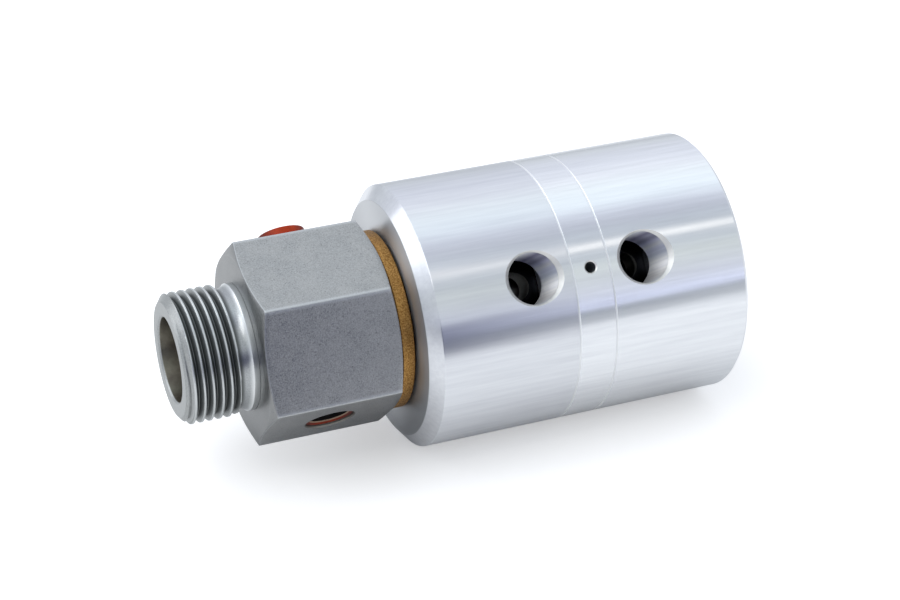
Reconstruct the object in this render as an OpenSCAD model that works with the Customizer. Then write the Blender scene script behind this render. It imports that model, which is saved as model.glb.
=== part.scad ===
// Rotary union for two passages, screwed on by its hollow stud.
// Stations along the axis are counted from the stud's open end face.
// The housing turns on the rotor about X, and two protective plugs pull out of the hexagon.

/* [Stud] */
// Major diameter of the stud's pipe thread
thread_d = 33.25; // [30:0.25:36]
// Distance from crest to crest
thread_pitch = 2.31; // [1.5:0.01:2.5]
// Number of crests
thread_crests = 6; // [3:1:8]
// Depth of the thread
thread_depth = 1.48; // [0.8:0.02:1.6]
// Width of the flat on each crest
crest_flat = 0.4; // [0.2:0.05:0.6]
// Length of the bevel on the stud's end
stud_bevel = 1.6; // [0.8:0.1:2.5]
// Height of that bevel, from the thread's major diameter
stud_bevel_h = 2.125; // [1:0.005:2.5]
// Bore of the stud, the axial passage
stud_bore_d = 21.5; // [17:0.5:24]
// Bevel at the mouth of the stud's bore
bore_bevel = 0.5; // [0.2:0.1:1]
// Depth of the stud's bore
stud_bore_depth = 20; // [18:0.5:23]
// Width of the groove behind the thread
relief_w = 1; // [0.8:0.1:2]
// Radius of the hollow sweep up to the collar
sweep_r = 3.4; // [3:0.1:5]
// Height of the round collar in front of the hexagon, above the thread's root
collar_h = 1.055; // [0.8:0.005:1.5]
// Width of the collar
collar_w = 1.4; // [1:0.1:3]

/* [Hexagon] */
// Width across flats
hex_af = 46; // [43:0.5:50]
// Length of the hexagon
hex_len = 34.6; // [32:0.2:40]
// Angle of the bevel at both ends of the hexagon
hex_bevel_angle = 20; // [10:1:30]
// Elevation of the lower port's flat, above the horizontal towards the front
flat_elevation = -43.6; // [-60:0.1:0]
// Diameter of the two ports in the flats
flat_port_d = 12.5; // [10:0.25:14]
// Bevel at the mouth of a flat's port
flat_port_bevel = 0.3; // [0.3:0.1:1.2]

/* [Protective plugs] */
// Length of a plug
plug_len = 10; // [8:0.5:10.5]
// Wall of a plug
plug_wall = 1.1; // [0.8:0.1:1.6]
// Rounding of the plug's rim
plug_round = 0.5; // [0.2:0.1:0.5]
// Narrowing of the plug on the radius towards its inner end
plug_taper = 0.4; // [0.2:0.05:0.8]
// How far the upper plug stands out of its flat
upper_plug_out = 4.1; // [2:0.1:6]
// How deep the lower plug lies in its port
lower_plug_in = 0.6; // [0:0.1:1]

/* [Rotor] */
// Diameter of the journal that runs in the housing
journal_d = 34; // [32:0.5:37]
// Bore through the rotor behind the stud
gallery_d = 21; // [19:0.5:23]
// Wall between the stud's bore and the gallery
neck_len = 8.4; // [6:0.2:9]
// Diameter of the cross holes from the bore to the housing's grooves
cross_hole_d = 8; // [6:0.5:9]
// Cross holes at each groove
cross_holes = 4; // [2:1:6]

/* [Passage tube] */
// Outside diameter of the tube
tube_d = 14; // [12:0.5:16]
// Bore of the tube
tube_bore_d = 11; // [8:0.5:11]
// Diameter of the tube's front spigot
spigot_d = 16.4; // [14:0.2:18]
// Length of the tube's rear collar
tube_collar_len = 8; // [6:0.5:10]
// Thickness of the small flange that stops the tube
tube_flange = 1; // [0.6:0.1:1.5]
// Length of the plug that closes the rotor's bore
end_plug_len = 9; // [7:0.5:10]
// Width across flats of the socket in that plug
end_plug_socket = 8; // [6:1:10]
// Diameter of the cord of the static seal rings
static_ring_d = 1.8; // [1.2:0.1:2]

/* [Thrust parts] */
// Outside diameter of the bronze thrust washer behind the hexagon
thrust_d = 45.8; // [42:0.2:46]
// Thickness of the bronze thrust washer
thrust_t = 3.4; // [2:0.1:5]
// Gap between the thrust washer and the housing
thrust_gap = 0.6; // [0.3:0.05:1]
// Thickness of the support washer behind the rear bush
support_t = 1.2; // [0.8:0.1:2]
// Thickness of the retaining ring on the rotor
clip_t = 1.5; // [1:0.1:2]
// Depth of the retaining ring's groove
clip_groove = 0.85; // [0.5:0.05:1.2]
// Radial width of the retaining ring
clip_w = 3.2; // [2:0.1:3.6]
// Length of rotor left behind the retaining ring
rotor_tail = 1.2; // [0.8:0.1:1.4]

/* [Housing] */
// Diameter of the housing
housing_d = 68; // [66:0.5:76]
// Length of the housing
housing_len = 86; // [86:0.5:100]
// Length of the bevel at the housing's front
front_bevel = 2.9; // [1:0.1:4]
// Height of the bevel at the housing's front
front_bevel_h = 3.6; // [1:0.1:5]
// Bevel at the housing's rear edge
rear_bevel = 1; // [0.3:0.1:1.5]
// Distance from the housing's front face to the weep hole
weep_x = 44; // [44:0.5:50]
// Diameter of the weep hole
weep_d = 2.8; // [1.5:0.1:4]
// Distance between the two ports
port_pitch = 30; // [29:0.5:31]
// Diameter of the ports
port_d = 13; // [10:0.5:14]
// Bevel at the mouth of a port, on the diameter
port_mouth_d = 15.4; // [14.5:0.1:17]
// Elevation of the ports, above the horizontal towards the front
port_elevation = 36; // [0:1:90]
// Distance between the two scribed lines
scribe_gap = 10; // [8:0.5:12]
// Depth and half width of a scribed line
scribe_depth = 0.25; // [0.1:0.05:0.5]

/* [Grooves and seals] */
// Width of the annular groove under a port
port_groove_w = 11; // [9:0.5:11.5]
// Depth of the annular grooves, from the journal
port_groove_h = 3.4; // [2:0.1:4]
// Land between a groove and a seal
seal_land = 1.3; // [0.8:0.1:1.5]
// Width of a slipper seal
slipper_w = 4; // [3:0.1:4.2]
// Radial thickness of a slipper seal
slipper_t = 1.6; // [1:0.1:2]
// Diameter of the cord of a seal energiser
energiser_d = 2.3; // [1.8:0.1:2.6]
// Width of the annular groove under the weep hole
weep_groove_w = 3; // [2:0.1:3.5]
// Depth of the dust wiper's seat
wiper_len = 3.6; // [2.5:0.1:5]
// Radial height of the dust wiper
wiper_h = 4; // [3:0.1:5]

/* [Bushes] */
// Length of the front bush
front_bush_len = 11.5; // [8:0.5:12]
// Wall of both bushes
bush_wall = 2.6; // [2:0.1:3.4]
// Length of the rear bush's sleeve
rear_bush_len = 5; // [3:0.1:5]
// Thickness of the rear bush's flange
bush_flange_t = 1.6; // [1:0.1:2]
// Outside diameter of the rear bush's flange
bush_flange_d = 41; // [40:0.5:42]

/* [Rear cover] */
// Diameter of the rear cover
cover_d = 61; // [60:0.5:62]
// Thickness of the rear cover
cover_t = 3.6; // [3:0.1:4]
// Number of cover screws
cover_screws_n = 6; // [4:1:8]
// Diameter of the circle of cover screws
screw_circle_d = 52.6; // [52:0.2:53]
// Diameter of a cover screw
screw_d = 4; // [3:0.5:4]
// Length of a cover screw
screw_len = 10; // [8:0.5:12]
// Width across flats of the socket in a cover screw
screw_socket = 2.5; // [2:0.5:2.5]

/* [Fits] */
// Radial running clearance between the rotor and what it turns in
run_clear = 0.05; // [0.02:0.01:0.08]
// Clearance of pieces that sit still in their seats
seat_clear = 0.02; // [0.01:0.01:0.05]
// Radial clearance of the plain bore around the journal
bore_clear = 0.4; // [0.3:0.05:0.6]
// Side clearance of a seal in its groove
groove_clear = 0.1; // [0.05:0.05:0.2]

/* [Hidden] */
$fn = 96;
eps = 0.01;

// Small lands, gaps and margins of the turned parts
thrust_play = 0.2;
wiper_land = 0.5;
pocket_clear = 0.3;
ring_wall = 0.8;
ring_land = 1.5;
plug_recess = 0.5;
flange_gap = 1;
static_squeeze = 0.2;
ring_groove_w = static_ring_d + 0.3;

// Radii of the turned surfaces
thread_r = thread_d / 2;
root_r = thread_r - thread_depth;
collar_r = root_r + collar_h;
journal_r = journal_d / 2;
gallery_r = gallery_d / 2;
neck_r = spigot_d / 2 + run_clear;
hex_r = hex_af / 2;
hex_corner_r = hex_r / cos(30);
housing_r = housing_d / 2;
run_r = journal_r + run_clear;
plain_bore_r = journal_r + bore_clear;
groove_r = journal_r + port_groove_h;
port_floor = journal_r + port_groove_h / 2;

// Stations of the stud and the hexagon
thread_start = stud_bevel + crest_flat / 2;
thread_end = thread_start + (thread_crests - 1) * thread_pitch;
relief_end = thread_end + crest_flat / 2 + relief_w;
sweep_len = sqrt(sweep_r * sweep_r - pow(sweep_r - collar_h, 2));
collar_end = relief_end + sweep_len + collar_w;
hex_front = collar_end;
hex_rear = hex_front + hex_len;
flat_port_x = hex_front + hex_len / 2;
mount_x = (thread_start + thread_end) / 2;

// Stations of the rotor's bore
neck_start = stud_bore_depth;
gallery_start = neck_start + neck_len;

// Stations of the housing
thrust_start = hex_rear;
thrust_end = thrust_start + thrust_t;
housing_front = thrust_end + thrust_gap;
housing_rear = housing_front + housing_len;
weep_at = housing_front + weep_x;
port_at = [weep_at - port_pitch / 2, weep_at + port_pitch / 2];
seal_groove_w = slipper_w + 2 * groove_clear;
seal_offset = (port_groove_w + seal_groove_w) / 2 + seal_land;
seal_at = [
    port_at[0] - seal_offset, port_at[0] + seal_offset,
    port_at[1] - seal_offset, port_at[1] + seal_offset,
];
slipper_r = run_r + slipper_t;
seal_groove_r = slipper_r + energiser_d + 2 * seat_clear;
wiper_r = journal_r + wiper_h;
bush_r = run_r + bush_wall;
front_bush_start = housing_front + wiper_len + wiper_land;

// Stations of the rear end
rear_land_start = seal_at[3] + seal_groove_w / 2 + seal_land;
flange_seat = rear_land_start + rear_bush_len;
flange_end = flange_seat + bush_flange_t;
support_start = flange_end + thrust_play;
clip_start = support_start + support_t;
rotor_end = clip_start + clip_t + rotor_tail;
cover_start = housing_rear - cover_t;
flange_r = bush_flange_d / 2;
pocket_r = flange_r + pocket_clear;
cover_ring_r = pocket_r + ring_wall + static_ring_d / 2;
clip_r = journal_r - clip_groove;
end_plug_start = rotor_end - plug_recess - end_plug_len;
end_plug_ring_x = end_plug_start + ring_land + ring_groove_w / 2;

// Stations of the passage tube
tube_start = neck_start + plug_recess;
tube_collar_start = weep_at - tube_collar_len / 2;
tube_ring_x = [neck_start + neck_len / 2, tube_collar_start + tube_collar_len / 2];

// A flat's port and its plug
flat_port_r = flat_port_d / 2;
plug_r = flat_port_r - run_clear;
port_r = port_d / 2;
port_mouth_r = port_mouth_d / 2;
screw_head_d = 2 * screw_d;

steel = "slategray";
zinc_steel = "lightslategray";
aluminium = "gainsboro";
bronze = "peru";
rubber = "dimgray";
orange_plastic = "orangered";

// Puts the rotation axis on X, with its station counted from the stud's end face
module on_axis(x = 0) {
    translate([x - mount_x, 0, 0]) rotate([0, 90, 0]) children();
}

// Stands a shape along a radius, at a station and an elevation above the front horizontal
module on_radius(x, elevation) {
    translate([x - mount_x, 0, 0]) rotate([90 - elevation, 0, 0]) children();
}

// Ring with a rectangular section
module ring(x, len, r_in, r_out) {
    on_axis(x) difference() {
        cylinder(h = len, r = r_out);
        translate([0, 0, -eps]) cylinder(h = len + 2 * eps, r = r_in);
    }
}

// Solid round stretch, used for cuts
module drum(x, len, r) {
    on_axis(x) cylinder(h = len, r = r);
}

// Ring with a round section
module cord_ring(x, r_mid, cord_r) {
    on_axis(x) rotate_extrude() translate([r_mid, 0]) circle(r = cord_r, $fn = 48);
}

// Half section of the threaded stud and its collar, as radius and station
function crest(i) = let (x = thread_start + i * thread_pitch) [
    [thread_r, x - crest_flat / 2],
    [thread_r, x + crest_flat / 2],
];
function stud_profile() = concat(
    [[0, 0], [thread_r - stud_bevel_h, 0]],
    [for (i = [0 : thread_crests - 1]) each concat(
        crest(i),
        i < thread_crests - 1 ? [[root_r, thread_start + (i + 0.5) * thread_pitch]] : []
    )],
    [[root_r, thread_end + crest_flat / 2 + relief_w / 3], [root_r, relief_end]],
    [for (k = [1 : 6]) let (a = asin(sweep_len / sweep_r) * k / 6)
        [root_r + sweep_r * (1 - cos(a)), relief_end + sweep_r * sin(a)]],
    [[collar_r, collar_end], [0, collar_end]]
);

module stud() {
    on_axis() rotate_extrude() polygon(stud_profile());
}

// Hexagon with its corners turned off at both ends
module hexagon() {
    bevel_len = (hex_corner_r - hex_r) * tan(hex_bevel_angle);
    on_axis(hex_front) intersection() {
        rotate([0, 0, 240 - flat_elevation]) cylinder(h = hex_len, r = hex_corner_r, $fn = 6);
        rotate_extrude() polygon([
            [0, 0], [hex_r, 0], [hex_corner_r + eps, bevel_len],
            [hex_corner_r + eps, hex_len - bevel_len], [hex_r, hex_len], [0, hex_len],
        ]);
    }
}

// Bore of one flat's port, with its beveled mouth
module flat_port_cut(elevation) {
    on_radius(flat_port_x, elevation) {
        cylinder(h = hex_r + 1, r = flat_port_r);
        translate([0, 0, hex_r - flat_port_bevel]) cylinder(
            h = flat_port_bevel + 1,
            r1 = flat_port_r,
            r2 = flat_port_r + flat_port_bevel + 1
        );
    }
}

// Cross holes that join the rotor's bore to one groove of the housing
module cross_hole_cuts(x) {
    for (i = [0 : cross_holes - 1])
        on_radius(x, port_elevation + i * 360 / cross_holes)
            cylinder(h = journal_r + 1, d = cross_hole_d);
}

module rotor_shaft() {
    color(zinc_steel) difference() {
        union() {
            stud();
            hexagon();
            drum(hex_rear - eps, rotor_end - hex_rear + eps, journal_r);
        }
        drum(-eps, stud_bore_depth + eps, stud_bore_d / 2);
        on_axis(-eps) cylinder(h = bore_bevel, r1 = stud_bore_d / 2 + bore_bevel, r2 = stud_bore_d / 2);
        drum(0, gallery_start, neck_r);
        drum(gallery_start, rotor_end - gallery_start + 1, gallery_r);
        ring(clip_start, clip_t + seat_clear, clip_r, journal_r + 1);
        flat_port_cut(flat_elevation);
        flat_port_cut(flat_elevation + 180);
        for (x = port_at) cross_hole_cuts(x);
    }
}

// Tube that keeps the axial passage apart from the gallery around it
module passage_tube() {
    spigot_r = spigot_d / 2;
    tube_collar_r = gallery_r - seat_clear;
    front_groove_r = neck_r - static_ring_d + static_squeeze;
    rear_groove_r = gallery_r - static_ring_d - seat_clear;
    color(steel) difference() {
        union() {
            drum(tube_start, gallery_start - tube_start, spigot_r);
            drum(gallery_start + seat_clear, tube_flange, gallery_r - flange_gap);
            drum(tube_start, tube_collar_start - tube_start + 1, tube_d / 2);
            drum(tube_collar_start, tube_collar_len, tube_collar_r);
        }
        drum(tube_start - 1, tube_collar_start + tube_collar_len - tube_start + 2, tube_bore_d / 2);
        ring(tube_ring_x[0] - ring_groove_w / 2, ring_groove_w, front_groove_r, neck_r + 1);
        ring(tube_ring_x[1] - ring_groove_w / 2, ring_groove_w, rear_groove_r, gallery_r + 1);
    }
}

module tube_front_seal() {
    cord = static_ring_d - static_squeeze - 2 * seat_clear;
    color(rubber) cord_ring(tube_ring_x[0], neck_r - seat_clear - cord / 2, cord / 2);
}

module tube_rear_seal() {
    cord_r = static_ring_d / 2 - seat_clear;
    color(rubber) cord_ring(tube_ring_x[1], gallery_r - seat_clear - cord_r, cord_r);
}

// Plug that closes the rear end of the rotor's bore
module shaft_end_plug() {
    r = gallery_r - seat_clear;
    color(steel) difference() {
        drum(end_plug_start, end_plug_len, r);
        ring(end_plug_ring_x - ring_groove_w / 2, ring_groove_w, r - static_ring_d, r + 1);
        on_axis(end_plug_start + end_plug_len / 2) cylinder(
            h = end_plug_len,
            r = end_plug_socket / 2 / cos(30),
            $fn = 6
        );
    }
}

module end_plug_seal() {
    cord_r = static_ring_d / 2 - seat_clear;
    color(rubber) cord_ring(end_plug_ring_x, gallery_r - seat_clear - cord_r, cord_r);
}

// Hollow plastic plug, open outwards, with its rim at the given height above the flat
module port_plug(elevation, rim_height) {
    inner_r = plug_r - plug_taper;
    color(orange_plastic) on_radius(flat_port_x, elevation)
        translate([0, 0, hex_r + rim_height - plug_len])
            rotate_extrude() polygon(concat(
                [[0, 0], [inner_r - plug_round, 0], [inner_r, plug_round]],
                [for (a = [0 : 22.5 : 90])
                    [plug_r - plug_round * (1 - cos(a)), plug_len - plug_round * (1 - sin(a))]],
                [[plug_r - plug_wall, plug_len], [inner_r - plug_wall, plug_wall], [0, plug_wall]]
            ));
}

// Bronze ring that shows between the hexagon and the housing
module front_thrust_washer() {
    color(bronze) ring(thrust_start, thrust_t, journal_r + seat_clear, thrust_d / 2);
}

module support_washer() {
    color(steel) ring(support_start, support_t, journal_r + seat_clear, flange_r - pocket_clear);
}

// Open retaining ring with two ears for pliers
module shaft_retaining_ring() {
    r_in = clip_r + seat_clear;
    r_out = r_in + clip_w;
    ear_r = clip_w / 2;
    ear_mid_r = r_out - ear_r + 0.4;
    ear_angle = 9;
    ear_hole_d = 1.4;
    gap_w = 2.4;
    color(steel) difference() {
        union() {
            ring(clip_start, clip_t, r_in, r_out);
            for (a = [-ear_angle, ear_angle])
                on_axis(clip_start) rotate([0, 0, a]) translate([ear_mid_r, 0, 0])
                    cylinder(h = clip_t, r = ear_r);
        }
        on_axis(clip_start - 1) translate([r_in - 1, -gap_w / 2, 0]) cube([clip_w + 4, gap_w, clip_t + 2]);
        for (a = [-ear_angle, ear_angle])
            on_axis(clip_start - 1) rotate([0, 0, a]) translate([ear_mid_r, 0, 0])
                cylinder(h = clip_t + 2, d = ear_hole_d);
    }
}

// V groove of a scribed line around the housing
module scribe_cut(x) {
    on_axis(x) rotate_extrude() polygon([
        [housing_r + 1, -scribe_depth - 1],
        [housing_r - scribe_depth, 0],
        [housing_r + 1, scribe_depth + 1],
    ]);
}

// Port with its beveled mouth
module port_cut(x) {
    bevel = port_mouth_r - port_r;
    on_radius(x, port_elevation) {
        translate([0, 0, port_floor]) cylinder(h = housing_r, r = port_r);
        translate([0, 0, housing_r - bevel]) cylinder(h = bevel + 1, r1 = port_r, r2 = port_mouth_r + 1);
    }
}

// Tapped hole in the housing for one cover screw
module screw_hole_cuts() {
    for (i = [0 : cover_screws_n - 1])
        on_axis(housing_rear - screw_len - 1) rotate([0, 0, i * 360 / cover_screws_n])
            translate([screw_circle_d / 2, 0, 0])
                cylinder(h = screw_len + 2, r = screw_d / 2 + seat_clear);
}

module housing_blank() {
    on_axis(housing_front) rotate_extrude() polygon([
        [0, 0], [housing_r - front_bevel_h, 0], [housing_r, front_bevel],
        [housing_r, housing_len - rear_bevel], [housing_r - rear_bevel, housing_len], [0, housing_len],
    ]);
}

module housing() {
    color(aluminium) difference() {
        housing_blank();
        drum(housing_front - 1, housing_len + 2, plain_bore_r);
        drum(housing_front - 1, wiper_len + 1, wiper_r + seat_clear);
        drum(housing_front, front_bush_start - housing_front + front_bush_len + seat_clear, bush_r + seat_clear);
        for (x = seal_at) drum(x - seal_groove_w / 2, seal_groove_w, seal_groove_r);
        for (x = port_at) drum(x - port_groove_w / 2, port_groove_w, groove_r);
        drum(weep_at - weep_groove_w / 2, weep_groove_w, groove_r);
        drum(rear_land_start, housing_len, bush_r + seat_clear);
        drum(flange_seat, housing_len, pocket_r);
        drum(cover_start, cover_t + 1, cover_d / 2 + seat_clear);
        ring(cover_start - static_ring_d + static_squeeze, static_ring_d, cover_ring_r - ring_groove_w / 2,
            cover_ring_r + ring_groove_w / 2);
        for (x = port_at) port_cut(x);
        on_radius(weep_at, port_elevation) translate([0, 0, port_floor])
            cylinder(h = housing_r, d = weep_d);
        for (s = [-1, 1]) scribe_cut(weep_at + s * scribe_gap / 2);
        screw_hole_cuts();
    }
}

// Rubber wiper with a thin lip towards the journal
module dust_wiper() {
    lip_start = 0.2;
    lip_len = 1;
    lip_t = 0.9;
    back = wiper_len - seat_clear;
    color(rubber) on_axis(housing_front) rotate_extrude() polygon([
        [run_r, lip_start], [run_r + lip_t, lip_start],
        [run_r + 1.5 * lip_t, lip_start + lip_len], [wiper_r, lip_start + lip_len],
        [wiper_r, back], [run_r + lip_t, back], [run_r + lip_t, lip_start + 1.5 * lip_len],
    ]);
}

module front_bush() {
    color(bronze) ring(front_bush_start, front_bush_len, run_r, bush_r);
}

// Flanged bush that takes the thrust of the support washer
module rear_bush() {
    color(bronze) difference() {
        union() {
            drum(rear_land_start + seat_clear, flange_end - rear_land_start - seat_clear, bush_r);
            drum(flange_seat + seat_clear, bush_flange_t - seat_clear, flange_r);
        }
        drum(rear_land_start - 1, flange_end - rear_land_start + 2, run_r);
    }
}

// Plastic sealing ring that runs on the journal
module slipper_seal(i) {
    color("whitesmoke") ring(seal_at[i] - slipper_w / 2, slipper_w, run_r, slipper_r);
}

// Rubber ring that presses a slipper seal onto the journal
module seal_energiser(i) {
    color(rubber) cord_ring(seal_at[i], slipper_r + seat_clear + energiser_d / 2, energiser_d / 2);
}

module rear_cover() {
    color(aluminium) difference() {
        drum(cover_start, cover_t, cover_d / 2);
        for (i = [0 : cover_screws_n - 1])
            on_axis(cover_start) rotate([0, 0, i * 360 / cover_screws_n])
                translate([screw_circle_d / 2, 0, 0]) {
                    translate([0, 0, -1]) cylinder(h = cover_t + 2, r = screw_d / 2 + seat_clear);
                    translate([0, 0, cover_t - screw_d / 2]) cylinder(
                        h = screw_d / 2 + eps,
                        r1 = screw_d / 2 + seat_clear,
                        r2 = screw_head_d / 2 + seat_clear + eps
                    );
                }
    }
}

module cover_seal_ring() {
    cord = static_ring_d - static_squeeze - 2 * seat_clear;
    color(rubber) cord_ring(cover_start - seat_clear - cord / 2, cover_ring_r, cord / 2);
}

// Countersunk screws with hexagon sockets
module cover_screws() {
    head_h = (screw_head_d - screw_d) / 2;
    color(steel) for (i = [0 : cover_screws_n - 1])
        on_axis(housing_rear - screw_len) rotate([0, 0, i * 360 / cover_screws_n])
            translate([screw_circle_d / 2, 0, 0]) difference() {
                union() {
                    cylinder(h = screw_len - 0.1, r = screw_d / 2);
                    translate([0, 0, screw_len - head_h])
                        cylinder(h = head_h - 0.1, r1 = screw_d / 2, r2 = screw_head_d / 2 - 0.1);
                }
                translate([0, 0, screw_len - head_h])
                    cylinder(h = head_h + 1, r = screw_socket / 2 / cos(30), $fn = 6);
            }
}

rotor_shaft();
passage_tube();
tube_front_seal();
tube_rear_seal();
shaft_end_plug();
end_plug_seal();
port_plug(flat_elevation + 180, upper_plug_out);  // upper_port_plug
port_plug(flat_elevation, -lower_plug_in);  // lower_port_plug
front_thrust_washer();
support_washer();
shaft_retaining_ring();
housing();
dust_wiper();
front_bush();
rear_bush();
slipper_seal(0);  // slipper_seal_1
slipper_seal(1);  // slipper_seal_2
slipper_seal(2);  // slipper_seal_3
slipper_seal(3);  // slipper_seal_4
seal_energiser(0);  // seal_energiser_1
seal_energiser(1);  // seal_energiser_2
seal_energiser(2);  // seal_energiser_3
seal_energiser(3);  // seal_energiser_4
rear_cover();
cover_seal_ring();
cover_screws();
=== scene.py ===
"""Rotary union on a white studio floor: threaded stud, hexagon, bronze washer and ported aluminium housing.

Sizes are in millimetres and are turned to metres where a mesh is made. A place on the part is a station
along the rotation axis X, a radius from it, and an elevation round it, counted from -Y upwards.
"""

import math

import bmesh
import bpy
import numpy as np
from mathutils import Matrix, Vector


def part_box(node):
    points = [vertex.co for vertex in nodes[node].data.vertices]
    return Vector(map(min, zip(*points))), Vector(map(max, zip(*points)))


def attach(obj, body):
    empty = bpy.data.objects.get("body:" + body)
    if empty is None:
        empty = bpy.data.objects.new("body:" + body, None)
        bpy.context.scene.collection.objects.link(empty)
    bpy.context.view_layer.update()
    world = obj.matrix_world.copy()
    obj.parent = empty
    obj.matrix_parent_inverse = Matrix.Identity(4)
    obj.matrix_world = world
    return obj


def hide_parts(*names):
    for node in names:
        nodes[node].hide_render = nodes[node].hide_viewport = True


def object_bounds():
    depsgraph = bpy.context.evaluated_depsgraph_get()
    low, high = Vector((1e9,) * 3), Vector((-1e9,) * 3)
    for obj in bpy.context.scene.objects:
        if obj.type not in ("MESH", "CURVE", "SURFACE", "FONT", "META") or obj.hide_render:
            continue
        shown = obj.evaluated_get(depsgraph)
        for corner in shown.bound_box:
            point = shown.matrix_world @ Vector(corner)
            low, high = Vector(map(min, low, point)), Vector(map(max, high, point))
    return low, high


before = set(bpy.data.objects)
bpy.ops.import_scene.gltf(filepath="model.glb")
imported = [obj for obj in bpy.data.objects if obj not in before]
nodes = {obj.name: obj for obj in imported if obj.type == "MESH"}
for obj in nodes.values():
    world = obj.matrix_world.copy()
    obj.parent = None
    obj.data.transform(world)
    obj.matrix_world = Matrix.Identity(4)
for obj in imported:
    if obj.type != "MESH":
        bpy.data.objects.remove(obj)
cad_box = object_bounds()

MM = 0.001
MERGE = 1e-6

# Stud: the station of its end face comes from the rotor shaft in model.glb, and the middle of its thread is
# at 0
STUD_END = 1000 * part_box("rotor_shaft")[0].x
THREAD_R = 33.25 / 2
THREAD_DEPTH = 1.48
THREAD_PITCH = 2.31
CREST_FLAT = 0.4
ROOT_FLAT = 0.2
ROOT_R = THREAD_R - THREAD_DEPTH
FIRST_CREST = STUD_END + 1.8
LAST_CREST = FIRST_CREST + 5 * THREAD_PITCH
CREST_ELEVATION = 32
THREAD_RUNOUT = 0.35
STUD_BEVEL = 1.6
STUD_FACE_R = 14.5
STUD_BORE_R = 10.75
STUD_BORE_END = STUD_END + 20
NECK_R = 8.25
NECK_END = STUD_BORE_END + 8.4
RELIEF_START = LAST_CREST + 0.53
RELIEF_END = LAST_CREST + 1.2
SWEEP_R = 3.4
COLLAR_R = 16.2
COLLAR_EDGE = 0.15

# Radii of extra rows on the flat faces, which keep their shading even: on the stud's end, and on the
# hexagon's two faces in the middle and at the rim
STUD_FACE_ROW_R = 12.8
HEX_FACE_ROW_R = 19
HEX_FACE_RIM_R = 22.88

# Hexagon: the thrust washer lies against its rear face
HEX_R = 23
HEX_LEN = 34.6
HEX_REAR = 1000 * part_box("front_thrust_washer")[0].x
HEX_FRONT = HEX_REAR - HEX_LEN
HEX_MIDDLE = (HEX_FRONT + HEX_REAR) / 2
HALF_FLAT = math.pi / 6
HEX_CORNER_R = HEX_R / math.cos(HALF_FLAT)
HEX_CORNER_ROUND = 0.35
HEX_BEVEL_ANGLE = math.radians(20)
HEX_BEVEL = math.tan(HEX_BEVEL_ANGLE)
HEX_EDGE = 0.15
FLAT_ELEVATION = -43.6
UPPER_ELEVATION = FLAT_ELEVATION + 180
FLAT_PORT_R = 6.25
FLAT_PORT_BEVEL = 0.3

# Plugs of the hexagon's ports
PLUG_LEN = 10
PLUG_R = 6.2
PLUG_FOOT_R = 5.8
PLUG_WALL = 1.1
UPPER_RIM = HEX_R + 4.1
LOWER_RIM = HEX_R - 0.6

# Journal, clip groove and holes of the rotor
JOURNAL_R = 17
CLIP_GROOVE_R = JOURNAL_R - 0.85
GALLERY_R = 10.5
CROSS_HOLE_R = 4
HOLE_FLOOR = 7
WASHER_BORE_R = 17.02

# Housing: two ports, a weep hole and two scribed lines
HOUSING_FRONT = 1000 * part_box("housing")[0].x
HOUSING_REAR = 1000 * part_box("housing")[1].x
HOUSING_R = 34
FRONT_FACE_R = 30.4
FRONT_BEVEL = 2.9
REAR_BEVEL = 1
PORT_ELEVATION = 36
PORT_R = 6.5
PORT_BEVEL = 1.2
PORT_FLOOR = 19
WEEP_X = HOUSING_FRONT + 44
PORT_X = (WEEP_X - 15, WEEP_X + 15)
WEEP_R = 1.4
SCRIBE_X = (WEEP_X - 5, WEEP_X + 5)

# Bore of the housing: seats of wiper, bushes and cover, and the grooves of ports, weep hole and seals. The
# wiper's seat and the front bush are counted from the front face, the other depths from the rear face. The
# ports' grooves are a little wider than the ports, so that no ledge is left in them
WIPER_SEAT = 3.6
WIPER_SEAT_R = 21.02
BUSH_SEAT_R = 19.67
FRONT_BUSH_END = 15.62
REAR_BUSH_START = 14.7
FLANGE_SEAT = 9.7
FLANGE_POCKET_R = 20.8
COVER_SEAT = 3.6
COVER_SEAT_R = 30.52
COVER_GROOVE_FLOOR = 5.2
COVER_GROOVE_R = (21.45, 23.55)
PLAIN_BORE_R = 17.4
GROOVE_R = 20.4
PORT_GROOVE_W = 2 * PORT_R + 0.1
WEEP_GROOVE_W = 3
SEAL_GROOVE_R = 20.99
SEAL_GROOVE_W = 4.2
SEAL_OFFSET = 8.9

# Cover screws
COVER_SCREWS = 6
SCREW_CIRCLE_R = 26.3
SCREW_R = 2
SCREW_HEAD_R = 3.84
SCREW_LEN = 9.9
SOCKET_R = 1.25

# Elevations of a plain ring's columns
ALL_ROUND = np.linspace(-180, 180, 240, endpoint=False)

# Patterns, with their widths in millimetres. Real turning and grinding marks are 0.05 to 0.2 wide, and
# crystals, pits and pores about as small: too fine to show, so they are drawn as coarse as they need to show
TURNING_RING = 0.35
FINE_RING = 0.3
HANDLING_STREAK = 1.3
PORT_WALL_STREAK = 0.6
ZINC_CRYSTAL = 0.32
ZINC_PIT = 0.42
ZINC_CLOUD = 5
OIL_FLOW = 1.6

# Scales that draw a noise out: into rings round the axis, and into streaks along it
RINGS = (1, 0.02, 0.02)
STREAKS = (0.05, 1, 1)

# How a noise breaks up, and the spans that hold most of it and its middle
NOISE_ROUGHNESS = 0.6
MOST = (0.3, 0.7)
MIDDLE = (0.35, 0.65)


def colour(code):
    """Linear RGBA of an sRGB hex code."""
    s = np.array([int(code[i : i + 2], 16) for i in (0, 2, 4)]) / 255
    return (*np.where(s <= 0.04045, s / 12.92, ((s + 0.055) / 1.055) ** 2.4), 1.0)


# Meshes


def polar(x, r, elevation):
    """Points in metres at station x, radius r and elevation in degrees: (x, -r cos e, r sin e)."""
    x, r, e = np.broadcast_arrays(x, r, np.radians(elevation))
    return MM * np.stack([x, -r * np.cos(e), r * np.sin(e)], axis=-1)


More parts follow.
